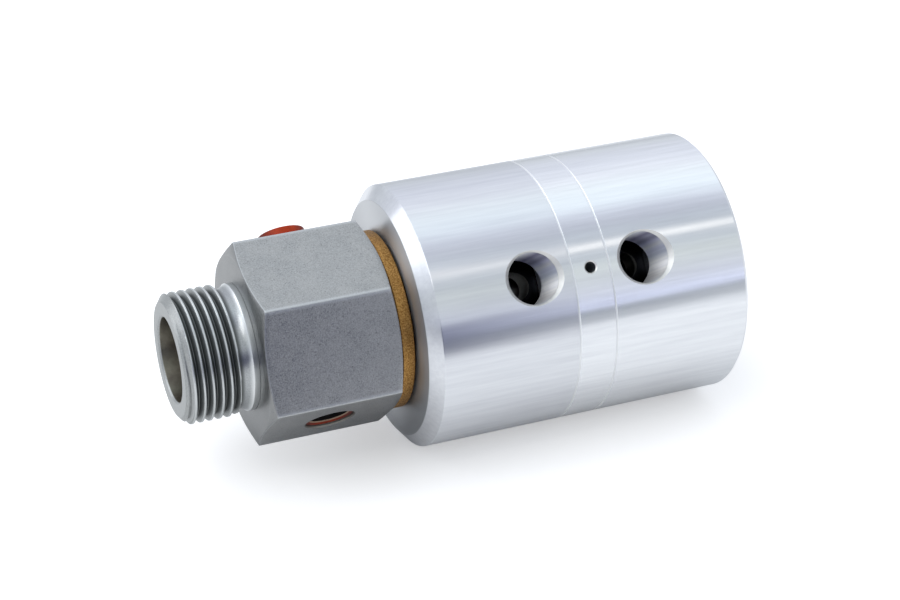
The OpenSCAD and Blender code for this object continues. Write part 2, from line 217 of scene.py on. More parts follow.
def outward(elevation):
    """Direction away from the axis at an elevation in degrees: (0, -cos e, sin e)."""
    e = math.radians(elevation)
    return 0.0, -math.cos(e), math.sin(e)


def sideways(elevation):
    """Direction round the axis at an elevation in degrees, towards higher ones: (0, sin e, cos e)."""
    e = math.radians(elevation)
    return 0.0, math.sin(e), math.cos(e)


def grid_faces(rows, cols, close_rows=False, close_cols=False, first=0):
    """Quads between neighbouring rows and columns of a grid of points."""
    index = first + np.arange(rows * cols).reshape(rows, cols)
    if close_rows:
        index = np.vstack([index, index[:1]])
    if close_cols:
        index = np.hstack([index, index[:, :1]])
    quads = np.stack([index[:-1, :-1], index[1:, :-1], index[1:, 1:], index[:-1, 1:]], axis=-1)
    return quads.reshape(-1, 4)


def mesh_object(name, points, quads, sharp=30, slot=0):
    """Object from points and quads: doubles merged, faces outwards, smooth where it bends less than sharp."""
    mesh = bpy.data.meshes.new(name)
    mesh.from_pydata(points.reshape(-1, 3), [], quads)
    work = bmesh.new()
    work.from_mesh(mesh)
    bmesh.ops.remove_doubles(work, verts=work.verts, dist=MERGE)
    bmesh.ops.dissolve_degenerate(work, edges=work.edges, dist=MERGE)
    bmesh.ops.recalc_face_normals(work, faces=work.faces)
    for face in work.faces:
        face.material_index = slot
    work.to_mesh(mesh)
    work.free()
    mesh.shade_smooth()
    mesh.set_sharp_from_angle(angle=math.radians(sharp))
    made = bpy.data.objects.new(name, mesh)
    bpy.context.scene.collection.objects.link(made)
    return made


def eased(corners, steps=3):
    """Profile with arcs at its corners, each given as (station, radius, radius of the arc)."""
    corners = np.array(corners, float)
    here, before, after = corners[:, :2], np.roll(corners, 1, 0)[:, :2], np.roll(corners, -1, 0)[:, :2]
    points = []
    for p, a, b, fillet in zip(here, before, after, corners[:, 2]):
        if not fillet:
            points.append(p[None])
            continue
        u, v = (a - p) / np.linalg.norm(a - p), (b - p) / np.linalg.norm(b - p)
        half = math.acos(np.clip(u @ v, -1, 1)) / 2
        reach = fillet / math.tan(half)
        t = np.linspace(0, 1, steps + 1)[:, None]
        # a quadratic curve through both tangent points, with the corner as its control point
        start, end = p + u * reach, p + v * reach
        points.append((1 - t) ** 2 * start + 2 * t * (1 - t) * p + t**2 * end)
    return np.vstack(points)


def turned(name, corners, elevations, slot=0, sharp=30):
    """Closed profile turned about X: every profile point is carried round all elevations."""
    profile = eased(corners)
    points = polar(profile[:, :1], profile[:, 1:], elevations[None])
    return mesh_object(name, points, grid_faces(len(profile), len(elevations), True, True), sharp, slot)


def spun(name, foot, out, side, profile, slot=1, turns=128):
    """Profile of (height, radius, arc) turned about a line.

    Its points are foot + h out + r cos a side + r sin a (out x side)."""
    profile = eased(profile)
    a = np.linspace(0, 2 * math.pi, turns, endpoint=False)[None, :, None]
    h, r = profile[:, :1, None], profile[:, 1:, None]
    foot, out, side = np.array(foot, float), np.array(out, float), np.array(side, float)
    points = MM * (foot + h * out + r * np.cos(a) * side + r * np.sin(a) * np.cross(out, side))
    return mesh_object(name, points, grid_faces(len(profile), turns, False, True), 30, slot)


def drill(name, x, elevation, profile, slot=1, turns=128):
    """Cutter or plug about a radius of the part; its profile's heights are counted from the axis."""
    return spun(name, (x, 0, 0), outward(elevation), (1, 0, 0), profile, slot, turns)


def closed_ends(profile):
    """Adds the middle points that close both ends of a drill's profile."""
    return [(profile[0][0], 0, 0), *profile, (profile[-1][0], 0, 0)]


def carve(piece, cutters, sharp=30):
    """Takes the cutters out of a piece; the cut walls get the piece's second material."""
    for cutter in cutters:
        cut = piece.modifiers.new(cutter.name, "BOOLEAN")
        cut.operation = "DIFFERENCE"
        cut.solver = "EXACT"
        cut.object = cutter
    bpy.context.view_layer.update()
    result = bpy.data.meshes.new_from_object(piece.evaluated_get(bpy.context.evaluated_depsgraph_get()))
    piece.modifiers.clear()
    piece.data = result
    for cutter in cutters:
        bpy.data.objects.remove(cutter)
    result.shade_smooth()
    result.set_sharp_from_angle(angle=math.radians(sharp))
    return piece


def paint(piece, finish, chosen, slot=0):
    """Gives a finish to those faces of a slot that a function of their middles, in millimetres, chooses."""
    mesh = piece.data
    count = len(mesh.polygons)
    middles, slots = np.empty(3 * count), np.empty(count, int)
    mesh.polygons.foreach_get("center", middles)
    mesh.polygons.foreach_get("material_index", slots)
    slots[chosen(middles.reshape(-1, 3) / MM) & (slots == slot)] = len(mesh.materials)
    mesh.materials.append(finish)
    mesh.polygons.foreach_set("material_index", slots)


def dress(piece, body, slot, *replaced):
    """The piece rides on a body and stands for CAD nodes; its slot argument is not used."""
    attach(piece, body)
    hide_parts(*replaced)
    return piece


# Materials


def node(tree, kind, *inputs, output=None, **settings):
    """Adds a node with its settings and links, and gives the named one of its outputs, or else the first.

    Kind is its type without ShaderNode. The inputs fill the sockets in use, in order: a value is written, an
    output is linked, and None is left."""
    made = tree.nodes.new("ShaderNode" + kind)
    for key, value in settings.items():
        setattr(made, key, value)
    for socket, value in zip([socket for socket in made.inputs if socket.enabled], inputs):
        if isinstance(value, bpy.types.NodeSocket):
            tree.links.new(value, socket)
        elif value is not None:
            socket.default_value = value
    return made.outputs[output] if output else next(socket for socket in made.outputs if socket.enabled)


def finish_named(name, **sockets):
    """New material: its node tree and its surface shader with those sockets set."""
    made = bpy.data.materials.new(name)
    made.use_nodes = True
    tree = made.node_tree
    shader = tree.nodes["Principled BSDF"]
    for key, value in sockets.items():
        shader.inputs[key.replace("_", " ")].default_value = value
    return made, tree, shader


def place(tree, scale=(1, 1, 1)):
    """Object coordinates in millimetres, times a scale per axis."""
    where = node(tree, "TexCoord", output="Object")
    return node(tree, "Mapping", where, None, None, tuple(1000 * s for s in scale))


def station(tree):
    """Station along the axis, in millimetres."""
    return node(tree, "SeparateXYZ", place(tree))


def radius(tree):
    """Distance from the axis, in millimetres."""
    return node(tree, "VectorMath", place(tree, (0, 1, 1)), operation="LENGTH")


def across_turning(tree):
    """Direction across the turning marks: the way round the axis, crossed with the surface's normal."""
    geometry = node(tree, "NewGeometry").node.outputs
    way_round = node(tree, "VectorMath", (1.0, 0.0, 0.0), geometry["Position"], operation="CROSS_PRODUCT")
    return node(tree, "VectorMath", way_round, geometry["Normal"], operation="CROSS_PRODUCT")


def set_stops(ramp, stops):
    """Fills a colour ramp with stops of (degrees, code); the first and the last one are its ends."""
    low, high = stops[0][0], stops[-1][0]
    elements = ramp.color_ramp.elements
    elements[0].position, elements[1].position = 0, 1
    elements[0].color, elements[1].color = colour(stops[0][1]), colour(stops[-1][1])
    for degrees, code in stops[1:-1]:
        elements.new((degrees - low) / (high - low)).color = colour(code)


def speckled(name, size, dark, light, detail=3, scale=(1, 1, 1), spread=None, rough=None, bump=0, **sockets):
    """Material of two tones in grains of a size in millimetres, drawn out where an axis has a small scale.

    Spread is the part of the noise that runs from dark to light. Rough is the roughness in dark and in light
    grains, and bump is their depth in millimetres."""
    made, tree, shader = finish_named(name, **sockets)
    grain = node(tree, "TexNoise", place(tree, scale), 1 / size, detail, NOISE_ROUGHNESS)
    amount = node(tree, "MapRange", grain, *spread) if spread else grain
    tint = node(tree, "Mix", amount, colour(dark), colour(light), data_type="RGBA")
    tree.links.new(tint, shader.inputs["Base Color"])
    if rough:
        tree.links.new(node(tree, "MapRange", grain, *MOST, *rough), shader.inputs["Roughness"])
    if bump:
        tree.links.new(node(tree, "Bump", 1.0, bump * MM, None, grain), shader.inputs["Normal"])
    if "Anisotropic" in sockets:
        tree.links.new(across_turning(tree), shader.inputs["Tangent"])
    return made


def turned_aluminium():
    """Bright turned aluminium: fine rings round the axis spread its reflections along the axis, not round it.

    The front stretch was turned with a worn tool, so it is duller, and handling left long faint streaks."""
    made, tree, shader = finish_named("turned_aluminium", Metallic=1.0, Anisotropic=0.9)
    x = station(tree)
    rings = node(tree, "TexNoise", place(tree, RINGS), 1 / TURNING_RING, 3, NOISE_ROUGHNESS)
    streaks = node(tree, "TexNoise", place(tree, STREAKS), 1 / HANDLING_STREAK, 3, NOISE_ROUGHNESS)
    streaks = node(tree, "MapRange", streaks, *MOST)
    # the front stretch ends at the first scribed line
    front = node(tree, "MapRange", x, SCRIBE_X[0] - 0.2, SCRIBE_X[0] + 0.2, 1.0, 0.0)
    face = node(tree, "MapRange", x, HOUSING_FRONT + 0.02, HOUSING_FRONT + 0.1, 1.0, 0.0)
    bright = node(tree, "Mix", streaks, colour("E4E6E9"), colour("EEF0F2"), data_type="RGBA")
    dull = node(tree, "Mix", streaks, colour("DADCE0"), colour("E5E7EA"), data_type="RGBA")
    skin = node(tree, "Mix", front, bright, dull, data_type="RGBA")
    base = node(tree, "Mix", face, skin, colour("C0C2C4"), data_type="RGBA")
    rough = node(tree, "MapRange", rings, *MOST, 0.21, 0.24)
    for mask, more in ((front, 0.08), (face, 0.06)):
        more = node(tree, "Math", mask, more, operation="MULTIPLY")
        rough = node(tree, "Math", rough, more, operation="ADD")
    tree.links.new(base, shader.inputs["Base Color"])
    tree.links.new(rough, shader.inputs["Roughness"])
    tree.links.new(across_turning(tree), shader.inputs["Tangent"])
    tree.links.new(node(tree, "Bump", 1.0, 0.0005 * MM, None, rings), shader.inputs["Normal"])
    return made


def bored_aluminium():
    """Drilled aluminium in the ports: the drill's rings run round the hole, so light smears along its depth.

    Its colour holds painted reflections, dark violet above and bright at the side, set by the angle round the
    port's own axis, and faint streaks along the depth. Both ports share the angle, because the way along X
    from a port's axis is taken modulo the distance between the ports."""
    made, tree, shader = finish_named("bored_aluminium", Metallic=1.0, Anisotropic=1.0)
    pitch = PORT_X[1] - PORT_X[0]
    along = node(tree, "Math", station(tree), WEEP_X, operation="SUBTRACT")
    along = node(tree, "Math", along, pitch, operation="FLOORED_MODULO")
    along = node(tree, "Math", along, pitch / 2, operation="SUBTRACT")
    above = node(tree, "VectorMath", place(tree), sideways(PORT_ELEVATION), operation="DOT_PRODUCT")
    angle = node(tree, "Math", above, along, operation="ARCTAN2")
    ramp = node(tree, "ValToRGB", node(tree, "MapRange", angle, -math.pi, math.pi))
    # painted reflections, by degrees round the port's axis, from the side at its rear: plain in the half
    # below
    stops = [
        (-180, "C9C9CC"),
        (-70, "DCDCDC"),
        (-45, "EFECE6"),
        (-22, "FFFFFF"),
        (-6, "FFFFFF"),
        (6, "DCE0EC"),
        (18, "EDEFFC"),
        (28, "FFFFFF"),
        (38, "DADBEA"),
        (46, "A3A2B6"),
        (56, "BAB9C8"),
        (64, "8C88A2"),
        (76, "C6C6CE"),
        (96, "E6E6E6"),
        (180, "C9C9CC"),
    ]
    set_stops(ramp.node, stops)
    across = node(tree, "CombineXYZ", along, above)
    streaks = node(tree, "TexNoise", across, 1 / PORT_WALL_STREAK, 3, NOISE_ROUGHNESS)
    streaks = node(tree, "MapRange", streaks, *MIDDLE)
    faint = node(tree, "Math", streaks, 0.22, operation="MULTIPLY")
    tint = node(tree, "Mix", faint, ramp, colour("C6C8D2"), data_type="RGBA")
    rough = node(tree, "MapRange", streaks, 0, 1, 0.72, 0.84)
    turn_with_piece = {"vector_type": "VECTOR", "convert_from": "OBJECT", "convert_to": "WORLD"}
    depth = node(tree, "VectorTransform", outward(PORT_ELEVATION), **turn_with_piece)
    tree.links.new(tint, shader.inputs["Base Color"])
    tree.links.new(rough, shader.inputs["Roughness"])
    tree.links.new(depth, shader.inputs["Tangent"])
    return made


def plated_steel():
    """Zinc plated steel, dull: the thin crystalline coat gives a fine sparkle and hides the milling marks.

    The turned stud is brighter; painted highlights brighten its crests, the collar's front rim and the
    hexagon's corners, painted shade darkens its roots, and its bore is darker and browner."""
    made, tree, shader = finish_named("zinc_plated_steel", Metallic=1.0)
    x, r = station(tree), radius(tree)
    grain = node(tree, "TexNoise", place(tree), 1 / ZINC_CRYSTAL, 3, NOISE_ROUGHNESS)
    grain = node(tree, "MapRange", grain, 0.34, 0.66)
    cloud = node(tree, "TexNoise", place(tree), 1 / ZINC_CLOUD, 3, NOISE_ROUGHNESS)
    cloud = node(tree, "MapRange", cloud, *MIDDLE)
    pits = node(tree, "TexNoise", place(tree), 1 / ZINC_PIT, 2, NOISE_ROUGHNESS)
    pits = node(tree, "MapRange", pits, 0.3, 0.42, 0.45, 0.0)
    # the cone of the front bevel is x = front + (r - apothem) tan 20, so this is the way behind it: the bevel
    # is a little darker, and a painted highlight brightens its crease with the flats and the hexagon's
    # corners
    cone = node(tree, "MapRange", r, HEX_R, HEX_R + 10, HEX_FRONT, HEX_FRONT + 10 * HEX_BEVEL)
    behind = node(tree, "Math", x, cone, operation="SUBTRACT")
    before_edge = node(tree, "MapRange", behind, 0.03, 0.12, 0.6, 0.0)
    past_edge = node(tree, "MapRange", behind, 0.03, 0.12)
    near_edge = node(tree, "MapRange", behind, 0.22, 0.34, 1.0, 0.0)
    edge = node(tree, "Math", past_edge, near_edge, operation="MULTIPLY")
    far_out = node(tree, "MapRange", r, HEX_CORNER_R - 0.5, HEX_CORNER_R - 0.2)
    past_front = node(tree, "MapRange", x, HEX_FRONT, HEX_FRONT + 1)
    corner = node(tree, "Math", far_out, past_front, operation="MULTIPLY")
    hexagon = node(tree, "Mix", cloud, colour("929392"), colour("A0A09E"), data_type="RGBA")
    # painted highlights in D2D5D6 on the flats just behind the bevel's crease and on the hexagon's corners
    for mask, tone in (
        (node(tree, "Math", grain, 0.75, operation="MULTIPLY"), "BFC0C0"),
        (pits, "666766"),
        (before_edge, "7F8080"),
        (node(tree, "Math", edge, 0.5, operation="MULTIPLY"), "D2D5D6"),
        (node(tree, "Math", corner, 0.5, operation="MULTIPLY"), "D2D5D6"),
    ):
        hexagon = node(tree, "Mix", mask, hexagon, colour(tone), data_type="RGBA")
    # the stud's turned skin, with a painted highlight on the collar's front rim, and the pitted end face
    skin = node(tree, "Mix", grain, colour("A2A5A6"), colour("B8BBBB"), data_type="RGBA")
    painted_rim_highlight = node(tree, "MapRange", r, COLLAR_R - 0.75, COLLAR_R - 0.2)
    painted_rim_highlight = node(tree, "Math", painted_rim_highlight, 0.8, operation="MULTIPLY")
    skin = node(tree, "Mix", painted_rim_highlight, skin, colour("EDF0EF"), data_type="RGBA")
    end = node(tree, "MapRange", x, STUD_END + STUD_BEVEL, STUD_END + STUD_BEVEL + 0.2, 1.0, 0.0)
    end_tone = node(tree, "Mix", grain, colour("979A9A"), colour("B0B2B0"), data_type="RGBA")
    end_tone = node(tree, "Mix", pits, end_tone, colour("7C7C78"), data_type="RGBA")
    stud = node(tree, "Mix", end, skin, end_tone, data_type="RGBA")
    on_hexagon = node(tree, "MapRange", x, HEX_FRONT - 0.1, HEX_FRONT - 0.02)
    base = node(tree, "Mix", on_hexagon, stud, hexagon, data_type="RGBA")
    # the thread: painted shade darkens the roots and the flanks grow paler towards a painted highlight on the
    # crests
    past_bevel = node(tree, "MapRange", x, STUD_END + STUD_BEVEL, STUD_END + STUD_BEVEL + 0.2)
    before_relief = node(tree, "MapRange", x, RELIEF_END - 0.3, RELIEF_END + 0.5, 1.0, 0.0)
    on_thread = node(tree, "Math", past_bevel, before_relief, operation="MULTIPLY")
    rise = node(tree, "MapRange", r, ROOT_R + 0.1, THREAD_R - 0.5)
    flank_with_painted_shade = node(tree, "Mix", rise, colour("6C6F6E"), colour("989B9A"), data_type="RGBA")
    top = node(tree, "MapRange", r, THREAD_R - 0.2, THREAD_R - 0.05)
    crest = node(tree, "Mix", top, flank_with_painted_shade, colour("D2D5D4"), data_type="RGBA")
    base = node(tree, "Mix", on_thread, base, crest, data_type="RGBA")
    # the bore, darker and browner
    bore = node(tree, "MapRange", r, STUD_BORE_R, STUD_BORE_R + 0.1, 1.0, 0.0)
    darker_bore_tone = node(tree, "Mix", cloud, colour("716A60"), colour("8A877A"), data_type="RGBA")
    base = node(tree, "Mix", bore, base, darker_bore_tone, data_type="RGBA")
    # the collar's roughness is lower by 0.06, and its crystals give way to an even grey: 16.6 times 0.06 is
    # nearly 1
    past_relief = node(tree, "MapRange", x, RELIEF_END - 0.3, RELIEF_END + 0.1, 0.0, 0.06)
    before_hexagon = node(tree, "MapRange", x, HEX_FRONT - 0.1, HEX_FRONT - 0.02, 1.0, 0.0)
    smoother = node(tree, "Math", past_relief, before_hexagon, operation="MULTIPLY")
    flat = node(tree, "Math", smoother, 16.6, operation="MULTIPLY")
    crystals = node(tree, "Mix", flat, grain, (0.5, 0.5, 0.5, 1.0), data_type="RGBA")
    rough = node(tree, "MapRange", crystals, 0, 1, 0.32, 0.44)
    rough = node(tree, "Math", rough, smoother, operation="SUBTRACT")
    tree.links.new(base, shader.inputs["Base Color"])
    tree.links.new(rough, shader.inputs["Roughness"])
    tree.links.new(node(tree, "Bump", 1.0, 0.008 * MM, None, crystals), shader.inputs["Normal"])
    return made


def plug_red(tree):
    """Orange-red of the plugs, with painted shade that darkens it towards both sides of the hexagon."""
    beside = node(tree, "Math", station(tree), HEX_MIDDLE, operation="SUBTRACT")
    beside = node(tree, "Math", beside, operation="ABSOLUTE")
    flow = node(tree, "TexNoise", place(tree), 1 / OIL_FLOW, 2, NOISE_ROUGHNESS)
    unshaded_red = node(tree, "Mix", flow, colour("9E2A04"), colour("C4400A"), data_type="RGBA")
    # painted shade: darker towards both sides of the hexagon
    painted_side_shade = node(tree, "MapRange", beside, 2.4, 6.4, 0.0, 0.85)
    return node(tree, "Mix", painted_side_shade, unshaded_red, colour("3A0E06"), data_type="RGBA")


def moulded_plug_plastic():
    """Soft polyethylene, moulded in orange-red: light sinks in a little and the skin has a low waxy gloss."""
    made, tree, shader = finish_named(
        "orange_polyethylene",
        Roughness=0.45,
        IOR=1.51,
        Specular_IOR_Level=0.25,
        Subsurface_Weight=0.1,
        Subsurface_Radius=(0.8, 0.25, 0.1),
        Subsurface_Scale=1 * MM,
    )
    flow = node(tree, "TexNoise", place(tree), 1 / OIL_FLOW, 2, NOISE_ROUGHNESS)
    tree.links.new(plug_red(tree), shader.inputs["Base Color"])
    tree.links.new(node(tree, "Bump", 1.0, 0.01 * MM, None, flow), shader.inputs["Normal"])
    return made


def plug_plastic_with_painted_light():
    """The same plastic in the lower plug, darker and browner: a painted highlight makes a pale band inside
    its rim, and painted shade blackens its cup.
    """
    made, tree, shader = finish_named("polyethylene_with_painted_light", Roughness=0.4, IOR=1.48, Specular_IOR_Level=0.25)
    height = node(tree, "VectorMath", place(tree), outward(FLAT_ELEVATION), operation="DOT_PRODUCT")
    brown = node(tree, "Mix", 0.45, plug_red(tree), colour("52281E"), data_type="RGBA")
    # painted highlight: a pale band just inside the rim
    past_painted_highlight = node(tree, "MapRange", height, LOWER_RIM - 0.5, LOWER_RIM - 0.44)
    pale = node(tree, "Mix", past_painted_highlight, colour("B69A80"), brown, data_type="RGBA")
    # painted shade: the cup below it is nearly black
    past_painted_shade = node(tree, "MapRange", height, LOWER_RIM - 0.78, LOWER_RIM - 0.7)
    tint = node(tree, "Mix", past_painted_shade, colour("0C0605"), pale, data_type="RGBA")
    tree.links.new(tint, shader.inputs["Base Color"])
    return made


aluminium = turned_aluminium()
bore_aluminium = bored_aluminium()
zinc_steel = plated_steel()
plug_plastic = moulded_plug_plastic()
plastic_with_painted_light = plug_plastic_with_painted_light()

# Scribed aluminium in the two lines round the housing: freshly cut, so brighter than the turned skin, with a
# tone that changes a little over 3 mm
scribed = speckled("scribed_aluminium", 3, "F2F4F5", "FFFFFF", detail=2, Metallic=1.0, Roughness=0.3)

# Countersunk aluminium round the ports: the cutter chattered and left it rough, so the bevel is a pale ring,
# faintly warm, with marks 1.2 mm apart
bevel_aluminium = speckled(
    "countersunk_aluminium", 1.2, "E2E1DC", "F4F3F0", detail=2, Metallic=1.0, Roughness=0.45
)

# Drilled steel in the rotor's holes: plated thinly, so darker and rougher than the outside; the drill's fine
# marks are drawn 0.5 mm wide to show
bore_steel = speckled("drilled_steel", 0.5, "77756F", "8E8C86", Metallic=1.0, Roughness=0.4)

# Nitrided and ground steel of the journal: a hard skin with a satin gloss along its rings. Nitrided steel is
# dark grey; its near-black tone here is painted shade for the dark hollow inside the housing
journal_steel = speckled(
    "nitrided_steel_with_painted_shade", FINE_RING, "1C1C1F", "2C2C30", scale=RINGS, Metallic=1.0, Roughness=0.3
)

# Sintered bronze: pressed powder leaves tiny pores, drawn 0.4 mm wide to show, so it is speckled and has no
# clear reflection
bronze = speckled(
    "sintered_bronze",
    0.4,
    "8E6434",
    "C99C5C",
    spread=MIDDLE,
    rough=(0.55, 0.38),
    bump=0.02,
    Metallic=1.0,
)

# Turned bright steel of the parts inside: greyer than aluminium, with rings round the axis
steel = speckled(
    "turned_steel", FINE_RING, "A3A3A6", "BEBEC0", scale=RINGS, Metallic=1.0, Roughness=0.3, Anisotropic=0.6
)

# Black oxide on hardened screws and rings: nearly black, with an oily low gloss in patches of 0.4 mm
dark_steel = speckled("black_oxide_steel", 0.4, "2A2A2C", "434347", rough=(0.3, 0.46), Metallic=1.0)

# Nitrile rubber, moulded: black, with a matte skin and a bloom of paler powder in specks of 0.6 mm
rubber = speckled("nitrile_rubber", 0.6, "161616", "2B2B2A", bump=0.01, Roughness=0.7, IOR=1.52)

# Filled PTFE of the sliding seals: off-white, waxy and matte, with grains of filler drawn 0.4 mm wide to show
ptfe = speckled("filled_ptfe", 0.4, "D9D6CE", "EEECE6", Roughness=0.5, IOR=1.35)


# Rotor


def hexagon_radius(from_flat):
    """Radius of the hexagon at an angle from the middle of a flat, with its corners rounded.

    A flat gives apothem / cos(angle). Near a corner it is the far side of a small circle that touches both
    flats."""
    angle = np.abs(from_flat)
    flat = HEX_R / np.cos(angle)
    from_corner = HALF_FLAT - angle
    centre = (HEX_R - HEX_CORNER_ROUND) / math.cos(HALF_FLAT)
    under = HEX_CORNER_ROUND**2 - (centre * np.sin(from_corner)) ** 2
    arc = centre * np.cos(from_corner) + np.sqrt(np.maximum(under, 0))
    touch = HALF_FLAT - math.atan((HEX_R - HEX_CORNER_ROUND) * math.tan(HALF_FLAT) / HEX_R)
    return np.where(from_corner < touch, arc, flat)


def thread_radius(x, elevation):
    """Radius of the stud: the ridges of a right-hand helix, with flat crests, cut by end bevel and relief."""
    phase = (x - FIRST_CREST) / THREAD_PITCH + (elevation - CREST_ELEVATION) / 360
    from_crest = np.abs(phase - np.round(phase)) * THREAD_PITCH
    slope = THREAD_DEPTH / (THREAD_PITCH / 2 - CREST_FLAT / 2 - ROOT_FLAT / 2)
    ridge = THREAD_R - np.clip((from_crest - CREST_FLAT / 2) * slope, 0, THREAD_DEPTH)
    bevel = STUD_FACE_R + (x - STUD_END) * (THREAD_R - STUD_FACE_R) / STUD_BEVEL
    relief = np.interp(x, [RELIEF_START - THREAD_RUNOUT, RELIEF_START], [THREAD_R, ROOT_R])
    return np.minimum(np.minimum(ridge, bevel), relief)


def thread_points(elevations):
    """Rows that run along the helix, so each crest and root keeps its own; both ends are cut at a station.

    Faces join row k of the last column to the row one pitch lower in the first column."""
    crest = [-0.26, -0.16, 0.0, 0.16, 0.26]
    falling = [0.42, 0.6, 0.78, 0.96]
    root = [1.06, 1.155, 1.25]
    rising = [1.35, 1.53, 1.71, 1.89]
    offsets = np.array(crest + falling + root + rising)
    pitches = np.arange(-2, 9)
    base = (FIRST_CREST + pitches[:, None] * THREAD_PITCH + offsets).ravel()
    x = base[:, None] - THREAD_PITCH * (elevations[None] - CREST_ELEVATION) / 360
    x = np.clip(x, STUD_END, RELIEF_START)
    points = polar(x, thread_radius(x, elevations[None]), elevations[None])
    rows, cols, step = len(base), len(elevations), len(offsets)
    index = np.arange(rows * cols).reshape(rows, cols)
    last, start = index[step:, -1], index[:-step, 0]
    seam = np.stack([last[:-1], last[1:], start[1:], start[:-1]], axis=-1)
    return points, np.vstack([grid_faces(rows, cols), seam])


def sweep_and_collar():
    """Profile from the relief up a quarter hollow to the collar, and along it to the hexagon."""
    turn = np.linspace(0, math.acos(1 - (COLLAR_R - ROOT_R) / SWEEP_R), 9)
    sweep = np.stack([RELIEF_END + SWEEP_R * np.sin(turn), ROOT_R + SWEEP_R * (1 - np.cos(turn))], axis=-1)
    return [
        (RELIEF_START, ROOT_R),
        *sweep,
        (sweep[-1, 0] + 0.12, COLLAR_R),
        (HEX_FRONT - COLLAR_EDGE, COLLAR_R),
        (HEX_FRONT - 0.03, COLLAR_R - 0.04),
        (HEX_FRONT, COLLAR_R - COLLAR_EDGE),
    ]


def journal_and_bore():
    """Profile from the hexagon's rear along the journal, and back through the bore to the stud's end face."""
    end = 1000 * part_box("rotor_shaft")[1].x
    clip = [1000 * v.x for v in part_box("shaft_retaining_ring")]
    return [
        (HEX_REAR, JOURNAL_R),
        (HEX_REAR + 20, JOURNAL_R),
        (HEX_REAR + 50, JOURNAL_R),
        (clip[0], JOURNAL_R),
        (clip[0], CLIP_GROOVE_R),
        (clip[1] + 0.02, CLIP_GROOVE_R),
        (clip[1] + 0.02, JOURNAL_R),
        (end - 0.3, JOURNAL_R),
        (end, JOURNAL_R - 0.3),
        (end, GALLERY_R),
        (NECK_END, GALLERY_R),
        (NECK_END, NECK_R),
        (STUD_BORE_END, NECK_R),
        (STUD_BORE_END, STUD_BORE_R),
        (STUD_END + 0.65, STUD_BORE_R),
        (STUD_END + 0.45, STUD_BORE_R + 0.06),
        (STUD_END + 0.06, STUD_BORE_R + 0.45),
        (STUD_END, STUD_BORE_R + 0.65),
        (STUD_END, STUD_FACE_ROW_R),
        (STUD_END, STUD_FACE_R - 0.12),
        (STUD_END, STUD_FACE_R),
    ]


def rotor():
    """Hollow stud, hexagon and journal in one skin: grids of rows along the axis and columns round it.

    The columns crowd towards the corners. The bevel's rows follow the crease where its cone meets the flats:
    the cone is x = (r - apothem) tan 20, and the rows lie before, at and after the crease."""
    side = np.concatenate([np.linspace(0, 29, 23), [29.35, 29.6, 29.75, 29.88]])
    sector = np.concatenate([-side[:0:-1], side, [30]])
    elevations = (FLAT_ELEVATION + 60 * np.arange(6)[:, None] + sector).ravel()
    hexagon = hexagon_radius(np.radians(np.tile(sector, 6)))[None]

    def rows(profile):
        """Points of a plain turned profile of (station, radius)."""
        profile = np.array(profile, float)
        return polar(profile[:, :1], profile[:, 1:2], elevations[None])

    crease = (hexagon - HEX_R) * HEX_BEVEL
    length = (hexagon - HEX_R) / math.cos(HEX_BEVEL_ANGLE)
    ease = np.minimum(HEX_EDGE, 0.45 * length + 0.03)
    before = (crease - ease * math.sin(HEX_BEVEL_ANGLE), hexagon - ease * math.cos(HEX_BEVEL_ANGLE))
    middle = (crease + 0.12 * ease, hexagon - 0.22 * ease)
    after = (crease + ease, hexagon)
    bevel = [(np.maximum(x, 0), r) for x, r in (before, middle, after)]
    front_radii = (COLLAR_R - COLLAR_EDGE, HEX_FACE_ROW_R, HEX_FACE_RIM_R)
    skin = [rows(sweep_and_collar()), rows([(HEX_FRONT, r) for r in front_radii])]
    skin += [polar(HEX_FRONT + x, r, elevations[None]) for x, r in bevel]
    for part in (0.03, 0.5, 0.97):
        skin.append(polar(HEX_FRONT + after[0] + (HEX_LEN - 2 * after[0]) * part, hexagon, elevations[None]))
    skin += [polar(HEX_REAR - x, r, elevations[None]) for x, r in reversed(bevel)]
    skin += [rows([(HEX_REAR, r) for r in (HEX_FACE_RIM_R, HEX_FACE_ROW_R)]), rows(journal_and_bore())]
    body = np.concatenate(skin)
    thread, thread_quads = thread_points(elevations)
    points = np.vstack([body.reshape(-1, 3), thread.reshape(-1, 3)])
    quads = np.vstack([grid_faces(*body.shape[:2], False, True), thread_quads + body.size // 3])
    made = mesh_object("rotor_with_stud_and_hexagon", points, quads, 24)
    made.data.materials.append(zinc_steel)
    made.data.materials.append(bore_steel)
    flat_port = [
        (HOLE_FLOOR, FLAT_PORT_R, 0),
        (HEX_R - FLAT_PORT_BEVEL, FLAT_PORT_R, 0.15),
        (HEX_R + 2, FLAT_PORT_R + FLAT_PORT_BEVEL + 2, 0),
    ]
    cross_hole = [
        (HOLE_FLOOR, CROSS_HOLE_R, 0),
        (JOURNAL_R - 0.4, CROSS_HOLE_R, 0),
        (JOURNAL_R + 1, CROSS_HOLE_R + 1.4, 0),
    ]
    cutters = [
        drill(f"flat_port_{i}", HEX_MIDDLE, FLAT_ELEVATION + turn, closed_ends(flat_port))
        for i, turn in enumerate((0, 180))
    ]
    cutters += [
        drill(f"cross_hole_{i}_{k}", x, PORT_ELEVATION + 90 * k, closed_ends(cross_hole), turns=64)
        for i, x in enumerate(PORT_X)
        for k in range(4)
    ]
    carve(made, cutters, 24)
    paint(made, journal_steel, lambda at: at[:, 0] > HEX_REAR + 0.001)
    return dress(made, "rotor", "zinc_steel", "rotor_shaft")


rotor()

# Housing


